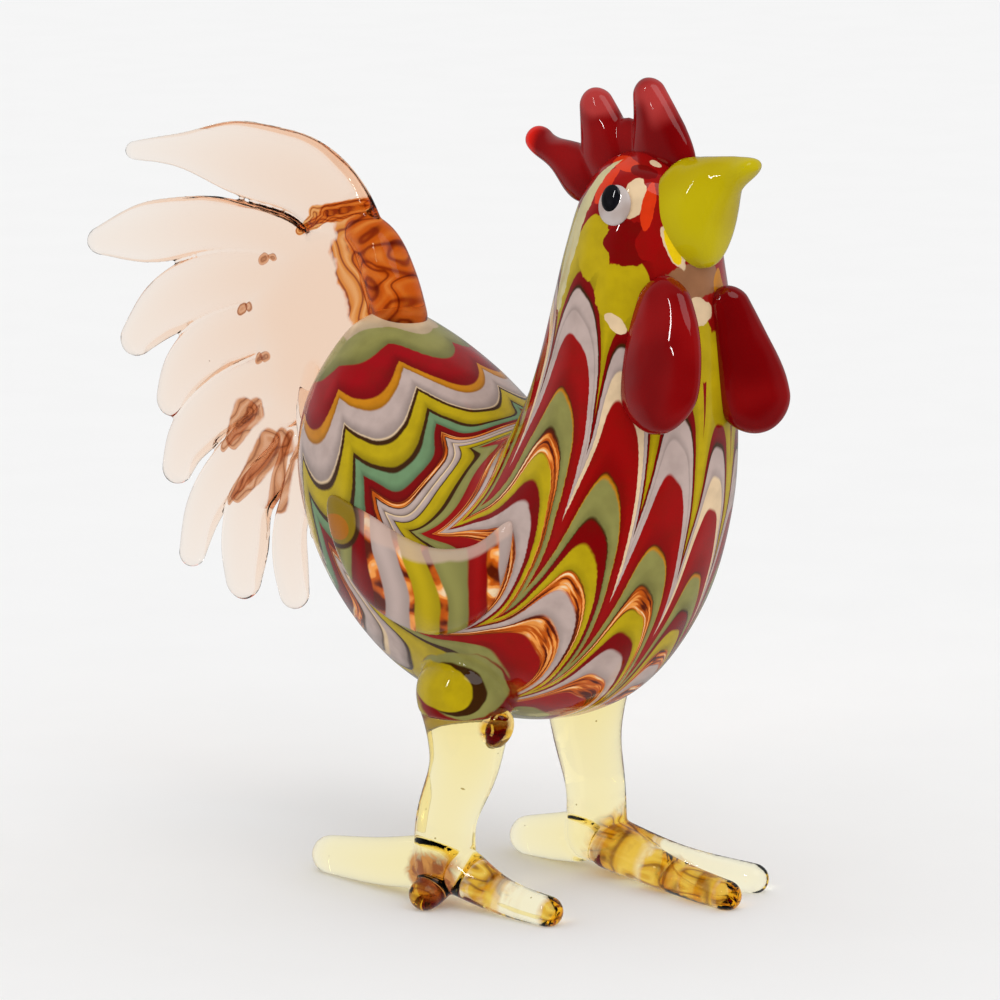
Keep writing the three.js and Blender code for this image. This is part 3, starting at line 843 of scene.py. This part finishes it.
def leg_glass(nodes):
    place = nodes.millimetres()
    swirl = nodes.noise(place, 0.3, 2.0, Distortion=1.4)
    lengthwise = nodes.vector(place.part("X"), place.part("Y") * 0.25, place.part("Z"))
    folds = nodes.noise(lengthwise, 0.3, 1.0) * 5
    deep = swirled(nodes, folds, rgb(112, 60, 8), rgb(206, 138, 18), rgb(234, 180, 48))
    tint = nodes.mix((nodes.stored("amber", 2) + 0.5 * swirl).smooth(0.45, 0.8), WHITE, deep)
    maroon = nodes.mix(swirl.smooth(0.4, 0.6), rgb(96, 34, 20), rgb(170, 92, 50))
    tint = nodes.mix((nodes.stored("brown", 2) + 0.4 * swirl).smooth(0.5, 0.8), tint, maroon)
    tint = nodes.mix(seeds(nodes, place, 0.4, 0.2), tint, rgb(140, 124, 80))
    normal = waviness(nodes, place, 0.1, 0.25)
    surface = clear_glass(nodes, tint, normal, (1, 0.99, 0.92, 1), 1.36)
    return surface, absorption(nodes, (0.995, 0.88, 0.3, 1), 100)


# The crown of the head: behind the middle, and up.
CROWN_SPOT = (BACK_LINE[-1][1], BACK_LINE[-1][2])


def cloudy(nodes, place, dark, light, scale, detail=1.0, full=0.7):
    """Two shades of glass that drift into each other."""
    return nodes.mix(nodes.noise(place, scale, detail).smooth(0.3, full), dark, light)


def red_paint(nodes, place):
    crown_behind, crown_height = CROWN_SPOT
    colour = cloudy(nodes, place, rgb(120, 3, 6), rgb(146, 12, 14), 0.1)
    # Painted sheen: pale, pink patches of painted light over the top of the comb.
    painted_sheen = place.part("Z").smooth(crown_height - 3, crown_height + 8) * nodes.noise(place, 0.14, 1.0)
    colour = nodes.mix(painted_sheen.smooth(0.32, 0.6), colour, rgb(182, 58, 56))
    bead = place.part("Y").smooth(crown_behind + BEAD_BEHIND, crown_behind + BEAD_BEHIND + 2)
    return nodes.mix(bead, colour, rgb(226, 30, 16))


def beak_paint(nodes, place):
    return cloudy(nodes, place, rgb(182, 160, 4), rgb(198, 180, 16), 0.09)


def eye_paint(nodes, place):
    return cloudy(nodes, place, rgb(178, 160, 152), rgb(200, 188, 184), 0.3)


def pupil_paint(nodes, place):
    return cloudy(nodes, place, rgb(8, 8, 10), rgb(24, 24, 30), 0.6, 2.0, 0.8)


# Stripes of the wing from its rear to its front, in millimetres across the quarter view. They run up and down
# in that view.
# The glow stripes are amber glass with streaks of painted light, as where light comes through it.
WING_STRIPES = [
    (-60.0, UMBER),
    (-26.5, rgb(140, 110, 20)),
    (-24.8, SAGE),
    (-22.9, CRIMSON),
    (-19.6, "glow"),
    (-17.8, LAVENDER),
    (-13.7, "glow"),
    (-12.8, MUSTARD),
    (-9.1, "glow"),
    (-7.9, SAGE),
    (-4.8, RED),
    (-2.0, "glow"),
    (0.0, LAVENDER),
]
# The lens at the rear of the wing: rings from the outside in, as for the thighs.
WING_LENS = [
    ((-25.4, 58.7), (3.7, 4.4), UMBER),
    ((-25.3, 58.7), (2.9, 3.6), rgb(138, 112, 20)),
    ((-25.5, 57.6), (2.0, 1.9), rgb(172, 104, 16)),
]


def wing_paint(nodes, place):
    height = place.part("Z")
    quarter = along_quarter(place)
    bend = height.smooth(48, 60) * quarter.between(-21, -7, 2.5)
    wander = (nodes.noise(place, 0.12, 2.0) - 0.5) * 1.6
    where = quarter + 3.5 * bend + wander
    # Amber with streaks of painted light, for the glow stripes.
    bright = glow(nodes, where * 0.24, height * 0.3)
    stripes = [(start, bright if colour == "glow" else colour) for start, colour in WING_STRIPES]
    colour = nodes.banded(where, stripes, 0.2, 0.4, 0.3)
    for middle, half, patch in WING_LENS:
        inside = inside_oval(height, quarter, middle, half)
        colour = nodes.mix(inside.smooth(-0.1, 0.1), colour, patch)
    # Painted highlight: a pale band along the lip under the upper rim.
    lip = nodes.stored("lip", 2) + 0.15 * wander
    pale = lip.smooth(0.45, 0.7) * quarter.smooth(-23, -20) * 0.62
    return nodes.mix(pale, colour, rgb(214, 182, 166))


BODY_GLASS = material("combed glass", enamel(body_paint, 0.12, 0.5))
TAIL_GLASS = material("champagne glass", tail_glass)
LEG_GLASS = material("straw glass", leg_glass)
RED_GLASS = material("red glass", enamel(red_paint, 0.15, 0.5))
BEAK_GLASS = material("mustard glass", enamel(beak_paint, 0.12, 0.3))
EYE_GLASS = material("white glass", enamel(eye_paint, 0.4, 0.1))
PUPIL_GLASS = material("black glass", enamel(pupil_paint, 0.5, 0.08))
WING_GLASS = material("striped glass", enamel(wing_paint, 0.15, 0.4))


def finished(made, glass, slot, *nodes):
    """Gives a piece its glass and lets it stand for its nodes."""
    made.data.materials.clear()
    made.data.materials.append(glass)
    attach(made, "root")
    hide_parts(*nodes)


# Drawn rods of glass: their routes are worked out here, and Geometry Nodes sweep the oval sections

def drawn_rod_nodes():
    """Sweeps a ring along each line of the route. Each point of the route keeps its place and the two half
    axes of the oval there."""
    tree = bpy.data.node_groups.new("Drawn rod", "GeometryNodeTree")
    face = tree.interface
    face.new_socket("Route", in_out="INPUT", socket_type="NodeSocketGeometry")
    face.new_socket("Sides", in_out="INPUT", socket_type="NodeSocketInt")
    face.new_socket("Glass", in_out="INPUT", socket_type="NodeSocketMaterial")
    face.new_socket("Rod", in_out="OUTPUT", socket_type="NodeSocketGeometry")
    nodes = Nodes(tree)
    route = nodes.add("NodeGroupInput")
    sides, glass = (Value(nodes, route.socket.node.outputs[index]) for index in (1, 2))
    kept = {
        name: nodes.add("GeometryNodeInputNamedAttribute", {"Name": name}, data_type="FLOAT_VECTOR")
        for name in ("place", "wide", "deep")
    }
    turn = nodes.add("GeometryNodeInputNamedAttribute", {"Name": "turn"}, data_type="FLOAT")
    ring = nodes.add("GeometryNodeCurvePrimitiveCircle", {"Resolution": sides, "Radius": MM}, mode="RADIUS")
    around = nodes.add("GeometryNodeSplineParameter") * (2 * math.pi)
    inputs = {"Geometry": ring, "Name": "turn", "Value": around}
    marked = nodes.add("GeometryNodeStoreNamedAttribute", inputs, data_type="FLOAT")
    line = nodes.add("GeometryNodeMeshToCurve", {"Mesh": route})
    tube = nodes.add("GeometryNodeCurveToMesh", {"Curve": line, "Profile Curve": marked})
    oval = kept["wide"].scaled(turn.maths("COSINE", turn)).plus(kept["deep"].scaled(turn.maths("SINE", turn)))
    moved = nodes.add("GeometryNodeSetPosition", {"Geometry": tube, "Position": kept["place"].plus(oval)})
    closed = nodes.add("GeometryNodeMergeByDistance", {"Geometry": moved, "Distance": 1e-6})
    real = nodes.add("GeometryNodeRealizeInstances", {"Geometry": closed})
    glazed = nodes.add("GeometryNodeSetMaterial", {"Geometry": real, "Material": glass})
    output = tree.nodes.new("NodeGroupOutput")
    tree.links.new(glazed.socket, output.inputs[0])
    return tree


DRAWN_ROD = drawn_rod_nodes()
# Steps along each rod.
ROD_RINGS = 72


def rod(route, half_widths, half_depths, depth_axis):
    """Places and half axes along a rod with rounded ends, closer together near the ends."""
    route = np.asarray(route, float)
    share = np.arange(ROD_RINGS + 1) / ROD_RINGS
    along = (1 - np.cos(np.pi * share)) / 2
    fine = np.linspace(0, 1, 2000)
    trail = smooth_curve(route, fine, centripetal=True)
    walked = np.concatenate([[0], np.cumsum(np.linalg.norm(np.diff(trail, axis=0), axis=1))])
    at = np.interp(along * walked[-1], walked, fine)
    places = smooth_curve(route, at, centripetal=True)
    tangents = unit(np.gradient(places, axis=0))
    across = unit(np.cross(tangents, depth_axis))
    deep = unit(np.cross(across, tangents))
    widths = smooth_curve(half_widths, along)
    depths = smooth_curve(half_depths, along)
    end = np.round(along).astype(int)
    end_radius = np.maximum(widths, depths)[-end]
    from_end = np.minimum(1, np.abs(end - along)[:, None] * walked[-1] / end_radius)
    rounding = np.sqrt(1 - (1 - from_end) ** 2)
    return places, across * widths * rounding, deep * depths * rounding


def flat_rod(origin, size, route, half_widths, half_depth):
    """A flattened rod in the bird's middle plane, whose end is no deeper than it is wide."""
    depths = [half_depth, half_depth, min(half_depth, half_widths[-1])]
    return rod(in_plane(origin, route, size), half_widths, depths, SIDEWAYS)


def drawn_rods(name, rods, glass, sides=48):
    """One object that holds several rods."""
    places, wide, deep = (np.vstack(values) * MM for values in zip(*rods))
    edges = []
    for index, (route, _, _) in enumerate(rods):
        start = sum(len(rods[before][0]) for before in range(index))
        edges += [(start + step, start + step + 1) for step in range(len(route) - 1)]
    mesh = bpy.data.meshes.new(name)
    mesh.from_pydata(places.tolist(), edges, [])
    made = placed(name, mesh)
    for kept, values in (("place", places), ("wide", wide), ("deep", deep)):
        keep_values(made, kept, values, "FLOAT_VECTOR")
    draw = made.modifiers.new("Draw", "NODES")
    draw.node_group = DRAWN_ROD
    inputs = {item.name: item.identifier for item in DRAWN_ROD.interface.items_tree if item.in_out == "INPUT"}
    draw[inputs["Sides"]] = sides
    draw[inputs["Glass"]] = glass
    apply_modifiers(made)
    for kept in ("place", "wide", "deep", "turn"):
        made.data.attributes.remove(made.data.attributes[kept])
    tidy(made)
    return made


# Body with the coloured tops of the legs

# The pairs: side is +1 for the bird's left and -1 for its right.
SIDES = {"right": -1, "left": 1}


def footing(side, spots):
    """Points beside the belly, from the millimetres forward and outward and the height of each."""
    return [BELLY_SPOT + np.array([side * outward, -forward, height]) for (forward, outward), height in spots]


def leg_rod(name):
    ankle = np.array(FEET[name]["ankle"]) * FOOT_REACH
    hip = (0, HIP_OUTWARD)
    route = footing(SIDES[name], zip((hip, hip, ankle, ankle), LEG_HEIGHTS))
    return rod(route, LEG_RADII, LEG_RADII, SIDEWAYS)


def thigh(name):
    """The top of a leg, cut off where its clear glass starts."""
    places, wide, deep = leg_rod(name)
    kept = places[:, 2] > THIGH_END
    return places[kept], wide[kept] * THIGH_FLARE, deep[kept] * THIGH_FLARE


def closed_rod(name, section, glass):
    """A rod whose open end is filled."""
    places, wide, deep = section
    ended = [np.vstack([places, places[-1:]])]
    ended += [np.vstack([axes, axes[-1:] * 0]) for axes in (wide, deep)]
    return drawn_rods(name, [ended], glass)


def skin_places(made):
    """The place on the skin of each point of a mesh: how far along, and the angle round from the back."""
    along, angle = np.meshgrid(np.linspace(0, 1, 260), 2 * np.pi * np.arange(240) / 240, indexing="ij")
    along, angle = along.ravel(), angle.ravel()
    spots = skin_point(along, angle)
    tree = KDTree(len(spots))
    for index, spot in enumerate(spots):
        tree.insert(spot, index)
    tree.balance()
    points = points_of(made)
    nearest = np.array([tree.find(point)[1] for point in points])
    along, angle = along[nearest], angle[nearest]
    for _ in range(2):
        lengthwise, crosswise = skin_slopes(along, angle)
        away = points - skin_point(along, angle)
        ends = np.sin(np.pi * np.clip(along, 0.01, 0.99))
        along = along + 0.8 * (away * lengthwise).sum(1) / ((lengthwise**2).sum(1) + 1e-9)
        angle = angle + 0.8 * ends * (away * crosswise).sum(1) / ((crosswise**2).sum(1) + 4)
        along = np.clip(along, 0, 1)
    return along, angle


bubble = moulded("bubble", skin_point, sides=200, rings=240)
thighs = [closed_rod(f"{name} thigh", thigh(name), BODY_GLASS) for name in SIDES]
body = fused("combed_body", [bubble, *thighs], grain=0.5, rounds=6)
along, angle = skin_places(body)
keep_values(body, "skin", np.column_stack([along, -np.sin(angle), np.cos(angle)]), "FLOAT_VECTOR")
finished(body, BODY_GLASS, "patterned_glass", "body_shell")

# Tail

rump = skin_point(np.array(0.0), np.array(0.0))
crown = skin_point(np.array(1.0), np.array(0.0))


def web_point(share, turn):
    rim = in_plane(rump, WEB_RIM, TAIL_REACH)
    middle = in_plane(rump, [WEB_MIDDLE], TAIL_REACH)[0]
    edge = smooth_curve(rim, turn / (2 * np.pi), centripetal=True, closed=True)
    spread = np.sqrt(np.abs(np.sin(np.pi * share)))[..., None]
    thickness = SIDEWAYS * (np.cos(np.pi * share) * WEB_THICKNESS / 2)[..., None]
    return middle + (edge - middle) * spread + thickness


web = moulded("web", web_point, sides=96, rings=40)
stem_route = in_plane(rump, STEM_ROUTE, TAIL_REACH)
tail_rods = [
    rod(stem_route, STEM_RADII, STEM_RADII, SIDEWAYS),
    rod(STRAND_ROUTE, STRAND_RADII, STRAND_RADII, SIDEWAYS),
]
for route, half_widths in FEATHERS:
    widths = np.array(half_widths) * FEATHER_WIDTH
    tail_rods.append(flat_rod(rump, TAIL_REACH, route, widths, FEATHER_HALF_DEPTH))
feathers = drawn_rods("feathers", tail_rods, TAIL_GLASS)
tail = fused("tail", [web, feathers], grain=0.33, rounds=10)


def from_line(points, first, last):
    """How far points lie from a straight line between two others, seen from the bird's side, and the share of
    the way along it."""
    points, first, last = points[:, 1:], first[1:], last[1:]
    way = last - first
    share = ((points - first) @ way / (way @ way)).clip(0, 1)
    return np.linalg.norm(points - first - share[:, None] * way, axis=1), share


spots = points_of(tail)
off_stem, _ = from_line(spots, stem_route[0], stem_route[2])
stains = {
    "amber": (STEM_DEPTH - off_stem / STEM_FADE, AMBER_STREAKS),
    "brown": (np.zeros(len(spots)), BROWN_STREAKS),
}
for stain, (depth, streaks) in stains.items():
    for first, last, half_widths in streaks:
        off_line, share = from_line(spots, *in_plane(rump, (first, last), TAIL_REACH))
        half_width = np.interp(share, (0, 1), half_widths)
        depth = np.maximum(depth, STREAK_DEPTH - STREAK_FALL * off_line / half_width)
    keep_values(tail, stain, depth.clip(0, 1))
tail_nodes = ["tail_root"] + [f"tail_feather_{number}" for number in range(1, len(FEATHERS) + 1)]
finished(tail, TAIL_GLASS, "tail_glass", *tail_nodes)

# Comb

comb_rods = []
for route, half_widths, half_depth in COMB_LOBES:
    widths = np.array(half_widths) * COMB_WIDTH
    comb_rods.append(flat_rod(crown, COMB_HEIGHT, route, widths, half_depth))
comb = fused("comb", [drawn_rods("lobes", comb_rods, RED_GLASS)], grain=0.25, rounds=9)
finished(comb, RED_GLASS, "comb_glass", "comb_front_lobe", "comb_middle_lobe", "comb_rear_lobe")

# Beak

beak_lines = [in_plane(crown, line, BEAK_LENGTH) for line in (BEAK_RIDGE, BEAK_CHIN)]


def beak_point(share, turn):
    return between_lines(*beak_lines, np.array(BEAK_HALF_DEPTHS) * BEAK_WIDTH, share, turn)


beak = moulded("hooked_beak", beak_point, sides=96, rings=120)
finished(beak, BEAK_GLASS, "beak_glass", "beak")


def dot(name, side, radii, half_depth, lift=0, back=0, up=0):
    """A flattened, oval dot of glass beside the middle of the eye."""
    place = on_skin(EYE_PLACE, side)
    normal = skin_normal(*place)
    across = unit(np.cross(UPWARD, normal))
    rising = np.cross(normal, across)
    middle = skin_point(*place) + normal * lift + across * side * back + rising * up

    def point(share, turn):
        spread = np.sin(np.pi * share)[..., None]
        height = np.cos(np.pi * share)[..., None] * half_depth
        oval = across * radii[0] * np.cos(turn)[..., None] + rising * radii[1] * np.sin(turn)[..., None]
        return middle + normal * height + oval * spread

    return moulded(name, point, sides=48, rings=24)


def wing_point(side):
    rim = np.array(WING_RIM)

    def point(share, turn):
        edge = smooth_curve(rim, turn / (2 * np.pi), closed=True)
        spread = (np.sin(np.pi * share).clip(0) ** 0.7)[..., None]
        place = np.array(WING_MIDDLE) + (edge - np.array(WING_MIDDLE)) * spread
        along, angle = place[..., 0], side * np.radians(place[..., 1])
        height = np.cos(np.pi * share) * WING_HALF_THICKNESS
        return skin_point(along, angle) + skin_normal(along, angle) * height[..., None]

    return point


def stain_depth(points, spot, reach):
    """How deep a stain round a spot is at each point."""
    return np.clip(STAIN_CORE - np.linalg.norm(points - spot, axis=1) / reach, 0, 1)


for name, side in SIDES.items():
    shape = WATTLES[name]
    place = on_skin(shape["root"], side)
    root = skin_point(*place) + skin_normal(*place) * WATTLE_LIFT
    hang = np.array(shape["hang"]) * [side, -1, -1]
    flap = rod([root, root + hang], shape["half_widths"], shape["half_depths"], shape["thin"])
    wattle = drawn_rods(f"{name}_wattle_flap", [flap], RED_GLASS, 72)
    finished(wattle, RED_GLASS, "comb_glass", f"{name}_wattle")

    white = dot(f"{name}_eye_dot", side, EYE_RADII, EYE_HALF_DEPTH)
    finished(white, EYE_GLASS, "eye_glass", f"{name}_eye_white")
    black = dot(f"{name}_pupil_dot", side, PUPIL_RADII, PUPIL_HALF_DEPTH, *PUPIL_SHIFT)
    finished(black, PUPIL_GLASS, "pupil_glass", f"{name}_pupil")

    wing = moulded(f"{name}_wing_pad", wing_point(side), sides=160, rings=60)
    along, angle = skin_places(wing)
    # Where the painted highlight lies: near the upper rim, by degrees round from the back.
    off_back = np.degrees(np.arccos(np.cos(angle)))
    top = np.interp(along, *np.array(WING_RIM[1:5]).T)
    keep_values(wing, "lip", np.clip(1 - (off_back - top - LIP_HIGHLIGHT_DEGREES) / LIP_HIGHLIGHT_FADE, 0, 1))
    finished(wing, WING_GLASS, "wing_glass", f"{name}_wing")

    leg = leg_rod(name)
    low = leg[0][:, 2] < THIGH_END + THIGH_OVERLAP
    shin = closed_rod(f"{name} shin", [values[low][::-1] for values in leg], LEG_GLASS)
    foot = FEET[name]
    ankle = np.array(foot["ankle"]) * FOOT_REACH
    toe_rods = []
    toe_routes = {}
    for toe, tip_share in foot["tips"].items():
        tip = np.array(tip_share) * FOOT_REACH
        radii = np.array(TOE_RADII[toe]) * TOE_WIDTH
        spots = [(ankle, foot["arch"]), ((ankle + tip) / 2, radii[1]), (tip, radii[2] - SOLE_DEPTH)]
        toe_routes[toe] = np.array(footing(side, spots))
        toe_rods.append(rod(toe_routes[toe], radii, radii, UPWARD))
    if name == "right":
        toe_rods.append(rod(DROP_ROUTE, DROP_RADII, DROP_RADII, SIDEWAYS))
    toes = drawn_rods(f"{name} toes", toe_rods, LEG_GLASS)
    clear = fused(f"{name}_leg_and_foot", [shin, toes], grain=0.3, rounds=5)
    points = points_of(clear)
    points[:, 2] = points[:, 2].clip(0)
    move_points(clear, points)
    for stain, spots in FOOT_STAINS[name].items():
        depth = np.zeros(len(points))
        for toe, share, reach in spots:
            spot = [np.interp(share, (0, 0.5, 1), values) for values in toe_routes[toe].T]
            depth = np.maximum(depth, stain_depth(points, spot, reach))
        if name == "right" and stain == "amber":
            depth = np.maximum(depth, stain_depth(points, DROP_ROUTE[1], DROP_REACH))
        keep_values(clear, stain, depth)
    leg_nodes = [f"{name}_leg", f"{name}_hind_toe", f"{name}_inner_toe", f"{name}_outer_toe"]
    finished(clear, LEG_GLASS, "leg_glass", *leg_nodes)


# Floor, light and camera

# The floor is a wide disc just under the feet, in millimetres.
FLOOR_RADIUS = 9000
FLOOR_TOP = -0.02
FLOOR_BOTTOM = -2.0


def floor_point(share, turn):
    reach = np.sin(np.pi * share) * FLOOR_RADIUS
    height = np.where(share > 0.5, FLOOR_BOTTOM, FLOOR_TOP)
    return np.stack([reach * np.cos(turn), reach * np.sin(turn), height], axis=-1)


def floor_paint(nodes):
    place = nodes.add("ShaderNodeTexCoord", output=3)
    grain = nodes.noise(place, 40.0, 2.0)
    colour = nodes.mix(grain, rgb(244, 244, 244), rgb(247, 247, 247))
    return nodes.add("ShaderNodeBsdfDiffuse", {"Color": colour}), None


floor = moulded("floor", floor_point, sides=64, rings=2)
floor.data.shade_flat()
floor.data.materials.append(material("floor", floor_paint))
floor.visible_glossy = False
floor.visible_transmission = False

CAMERA_TARGET = np.array([-2.085, -22.355, 61.5]) * MM
TOWARD_CAMERA = np.array([-0.7295, -0.6568, 0.1908])
CAMERA_DISTANCE = 0.9

# How bright the white all round is for the camera, and as light on the bird.
PAPER = 0.92
AMBIENT = 0.88


def studio(world):
    """White all round for the camera and through the glass, and dimmer in reflections."""
    world.use_nodes = True
    nodes = Nodes(world.node_tree)
    world.node_tree.nodes.clear()
    direction = nodes.add("ShaderNodeTexCoord")
    x, y, z = (float(part) for part in TOWARD_CAMERA)
    facing = direction.part("X") * x + direction.part("Y") * y + direction.part("Z") * z
    reflected = 0.02 + 0.1 * (1 - facing.smooth(0.45, 0.8)) + 0.25 * (1 - facing.smooth(-0.4, 0.1))
    rays = [nodes.add("ShaderNodeLightPath", output=output) for output in (0, 2, 6)]
    camera_ray, diffuse_ray, through_ray = rays
    plain = camera_ray.maths("MAXIMUM", camera_ray, through_ray)
    strength = PAPER * plain + (1 - plain) * (diffuse_ray * AMBIENT + (1 - diffuse_ray) * reflected)
    back = nodes.add("ShaderNodeBackground", {"Color": WHITE, "Strength": strength})
    output = world.node_tree.nodes.new("ShaderNodeOutputWorld")
    world.node_tree.links.new(back.socket, output.inputs["Surface"])


world = bpy.data.worlds.new("studio")
bpy.context.scene.world = world
studio(world)

# The lamps point at this spot in the middle of the bird, in metres.
LIT_SPOT = (0, -0.02, 0.06)


def lamp(name, kind, place, power, **settings):
    light = bpy.data.lights.new(name, kind)
    light.energy = power
    for setting, value in settings.items():
        setattr(light, setting, value)
    made = placed(name, light)
    made.location = place
    made.rotation_euler = (Vector(LIT_SPOT) - Vector(place)).to_track_quat("-Z", "Y").to_euler()
    return made


lamp("key", "SUN", (-0.3, -0.9, 1.3), 0.5, angle=math.radians(40))
strip = lamp("left strip", "AREA", (-0.85, 0.05, 0.55), 0.8, shape="RECTANGLE", size=0.03, size_y=0.3)
strip.visible_diffuse = False

camera = placed("camera", bpy.data.cameras.new("camera"))
camera.data.lens = 207.7
camera.data.sensor_width = 36
camera.data.clip_start = 0.05
camera.data.clip_end = 50
camera.location = CAMERA_TARGET + TOWARD_CAMERA * CAMERA_DISTANCE
camera.rotation_euler = Vector(-TOWARD_CAMERA).to_track_quat("-Z", "Y").to_euler()
bpy.context.scene.camera = camera
bpy.context.scene.view_settings.view_transform = "Standard"
